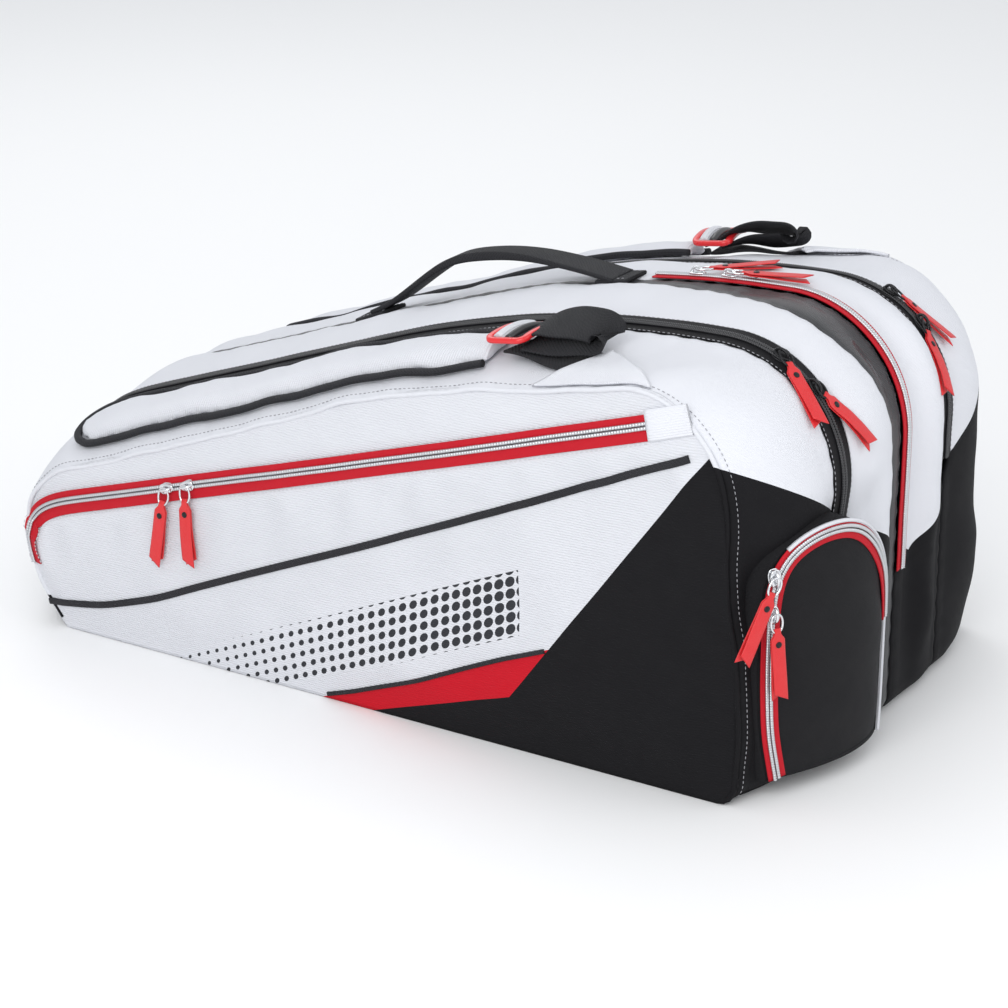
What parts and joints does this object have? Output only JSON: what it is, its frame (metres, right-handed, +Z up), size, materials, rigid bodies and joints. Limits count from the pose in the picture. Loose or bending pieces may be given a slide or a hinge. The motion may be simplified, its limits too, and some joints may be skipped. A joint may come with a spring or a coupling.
{
  "type": "racket tournament bag",
  "caption": "Long soft racket bag with two zipped racket rooms, a middle room, side and end pockets, a carry handle and padded straps.",
  "frame": {"origin": "middle of the bag's box on the floor it lies on", "axes": "+X along the bag towards its wide head end, +Z up, -Y the side with the side pocket"},
  "size_m": [0.8036, 0.4588, 0.3652],
  "materials": {
    "white_fabric": "white ribbed polyester",
    "black_fabric": "black twill polyester",
    "mesh_band": "coated black mesh",
    "red_leather": "red synthetic leather",
    "silver_zip": "silver coil and metal slider",
    "black_zip": "black coil and tape",
    "black_metal": "black enamelled metal",
    "red_plastic": "moulded red plastic",
    "black_webbing": "woven webbing",
    "foam_board": "foam and plastic stiffener"
  },
  "bodies": {
    "bag_body": {"base_tub": "black_fabric", "base_board": "foam_board", "near_divider": "foam_board", "far_divider": "foam_board", "near_center_panel": "white_fabric", "center_band": "mesh_band", "center_zip": "silver_zip", "far_center_panel": "white_fabric", "near_zip_inner": "black_zip", "far_zip_inner": "black_zip", "end_pocket_shell": "black_fabric", "handle_foot_rear": "black_webbing", "handle_foot_front": "black_webbing"},
    "near_flap": {"near_side_flap": "white_fabric", "near_zip_outer": "black_zip", "near_seam_piping": "black_webbing", "near_side_pocket": "white_fabric", "near_side_zip": "silver_zip", "near_webbing": "black_webbing", "near_webbing_tab": "white_fabric"},
    "far_flap": {"far_side_flap": "white_fabric", "far_zip_outer": "black_zip", "far_seam_piping": "black_webbing", "far_side_panel": "white_fabric", "far_webbing": "black_webbing", "far_webbing_tab": "white_fabric"},
    "near_strap_body": {"near_strap_pad": "black_webbing", "near_strap_cover": "white_fabric", "near_buckle": "red_plastic"},
    "far_strap_body": {"far_strap_pad": "black_webbing", "far_strap_cover": "white_fabric", "far_buckle": "red_plastic"},
    "end_flap": {"end_pocket_flap": "black_fabric", "end_pocket_zip": "silver_zip"},
    "handle": {"carry_handle": "black_webbing"},
    "near_upper_slider_body": {"near_upper_slider": "black_metal"},
    "near_upper_pull_body": {"near_upper_pull": "red_leather"},
    "near_lower_slider_body": {"near_lower_slider": "black_metal"},
    "near_lower_pull_body": {"near_lower_pull": "red_leather"},
    "far_upper_slider_body": {"far_upper_slider": "black_metal"},
    "far_upper_pull_body": {"far_upper_pull": "red_leather"},
    "far_lower_slider_body": {"far_lower_slider": "black_metal"},
    "far_lower_pull_body": {"far_lower_pull": "red_leather"},
    "middle_rear_slider_body": {"middle_rear_slider": "silver_zip"},
    "middle_rear_pull_body": {"middle_rear_pull": "red_leather"},
    "middle_front_slider_body": {"middle_front_slider": "silver_zip"},
    "middle_front_pull_body": {"middle_front_pull": "red_leather"},
    "side_rear_slider_body": {"side_rear_slider": "silver_zip"},
    "side_rear_pull_body": {"side_rear_pull": "red_leather"},
    "side_front_slider_body": {"side_front_slider": "silver_zip"},
    "side_front_pull_body": {"side_front_pull": "red_leather"},
    "end_upper_slider_body": {"end_upper_slider": "silver_zip"},
    "end_upper_pull_body": {"end_upper_pull": "red_leather"},
    "end_lower_slider_body": {"end_lower_slider": "silver_zip"},
    "end_lower_pull_body": {"end_lower_pull": "red_leather"}
  },
  "joints": [
    {"name": "near_flap_hinge", "type": "hinge", "parent": "bag_body", "child": "near_flap", "pos_m": [0, -0.2224, 0.11592], "axis": [0.9693, 0, 0.2458], "range_deg": [0, 60]},
    {"name": "far_flap_hinge", "type": "hinge", "parent": "bag_body", "child": "far_flap", "pos_m": [0, 0.2264, 0.11592], "axis": [-0.9693, 0, -0.2458], "range_deg": [0, 60]},
    {"name": "end_pocket_hinge", "type": "hinge", "parent": "bag_body", "child": "end_flap", "pos_m": [0.402, -0.12, 0.0225], "axis": [0, 1, 0], "range_deg": [0, 60]},
    {"name": "handle_hinge", "type": "hinge", "parent": "bag_body", "child": "handle", "pos_m": [-0.112, 0, 0.29169], "axis": [0.9557, 0, 0.2945], "range_deg": [-45, 45]},
    {"name": "near_strap_lift", "type": "hinge", "parent": "near_flap", "child": "near_strap_body", "pos_m": [-0.35, -0.165, 0.153], "axis": [0, -1, 0], "range_deg": [0, 6]},
    {"name": "far_strap_lift", "type": "hinge", "parent": "far_flap", "child": "far_strap_body", "pos_m": [-0.35, 0.165, 0.153], "axis": [0, -1, 0], "range_deg": [0, 6]},
    {"name": "near_upper_zip", "type": "hinge", "parent": "near_flap", "child": "near_upper_slider_body", "pos_m": [0.26671, -0.1, 0.2395], "axis": [0, -1, 0], "range_deg": [0, 25]},
    {"name": "near_lower_zip", "type": "hinge", "parent": "near_flap", "child": "near_lower_slider_body", "pos_m": [0.26671, -0.1, 0.2395], "axis": [0, 1, 0], "range_deg": [0, 25]},
    {"name": "far_upper_zip", "type": "hinge", "parent": "far_flap", "child": "far_upper_slider_body", "pos_m": [0.26671, 0.1, 0.2395], "axis": [0, -1, 0], "range_deg": [0, 25]},
    {"name": "far_lower_zip", "type": "hinge", "parent": "far_flap", "child": "far_lower_slider_body", "pos_m": [0.26671, 0.1, 0.2395], "axis": [0, 1, 0], "range_deg": [0, 25]},
    {"name": "middle_rear_zip", "type": "hinge", "parent": "bag_body", "child": "middle_rear_slider_body", "pos_m": [0.268, 0.014, -0.594], "axis": [0, -1, 0], "range_deg": [0, 1.2]},
    {"name": "middle_front_zip", "type": "hinge", "parent": "bag_body", "child": "middle_front_slider_body", "pos_m": [0.268, 0.014, -0.594], "axis": [0, 1, 0], "range_deg": [0, 3.3]},
    {"name": "side_rear_zip", "type": "slide", "parent": "near_flap", "child": "side_rear_slider_body", "axis": [-0.956, 0, -0.2935], "range_m": [0, 0.12]},
    {"name": "side_front_zip", "type": "slide", "parent": "near_flap", "child": "side_front_slider_body", "axis": [0.956, 0, 0.2935], "range_m": [0, 0.42]},
    {"name": "end_upper_zip", "type": "slide", "parent": "end_flap", "child": "end_upper_slider_body", "axis": [0, 0, 1], "range_m": [0, 0.008]},
    {"name": "end_lower_zip", "type": "slide", "parent": "end_flap", "child": "end_lower_slider_body", "axis": [0, 0, -1], "range_m": [0, 0.06]},
    {"name": "near_upper_pull_swing", "type": "hinge", "parent": "near_upper_slider_body", "child": "near_upper_pull_body", "pos_m": [0.31661, -0.10096, 0.34181], "axis": [-0.4213, -0.9047, 0.064], "range_deg": [0, 110]},
    {"name": "near_lower_pull_swing", "type": "hinge", "parent": "near_lower_slider_body", "child": "near_lower_pull_body", "pos_m": [0.34721, -0.10096, 0.31999], "axis": [0.1977, -0.9047, -0.3775], "range_deg": [0, 110]},
    {"name": "far_upper_pull_swing", "type": "hinge", "parent": "far_upper_slider_body", "child": "far_upper_pull_body", "pos_m": [0.31661, 0.10096, 0.34181], "axis": [0.4213, -0.9047, -0.064], "range_deg": [0, 110]},
    {"name": "far_lower_pull_swing", "type": "hinge", "parent": "far_lower_slider_body", "child": "far_lower_pull_body", "pos_m": [0.34721, 0.10096, 0.31999], "axis": [-0.1977, -0.9047, 0.3775], "range_deg": [0, 110]},
    {"name": "middle_rear_pull_swing", "type": "hinge", "parent": "middle_rear_slider_body", "child": "middle_rear_pull_body", "pos_m": [0.17795, 0.014, 0.35865], "axis": [0.6129, -0.788, 0.0579], "range_deg": [0, 150]},
    {"name": "middle_front_pull_swing", "type": "hinge", "parent": "middle_front_slider_body", "child": "middle_front_pull_body", "pos_m": [0.20792, 0.014, 0.36101], "axis": [0.1733, -0.9848, 0.0109], "range_deg": [0, 150]},
    {"name": "side_rear_pull_swing", "type": "hinge", "parent": "side_rear_slider_body", "child": "side_rear_pull_body", "pos_m": [-0.206, -0.2279, 0.16162], "axis": [-0.9877, 0, 0.1564], "range_deg": [0, 110]},
    {"name": "side_front_pull_swing", "type": "hinge", "parent": "side_front_slider_body", "child": "side_front_pull_body", "pos_m": [-0.184, -0.2279, 0.16838], "axis": [-0.9976, 0, -0.0698], "range_deg": [0, 110]},
    {"name": "end_upper_pull_swing", "type": "hinge", "parent": "end_upper_slider_body", "child": "end_upper_pull_body", "pos_m": [0.36833, -0.20052, 0.194], "axis": [-0.4585, -0.7731, 0.4384], "range_deg": [0, 110]},
    {"name": "end_lower_pull_swing", "type": "hinge", "parent": "end_lower_slider_body", "child": "end_lower_pull_body", "pos_m": [0.36833, -0.20052, 0.164], "axis": [-0.5088, -0.858, -0.0698], "range_deg": [0, 110]}
  ]
}
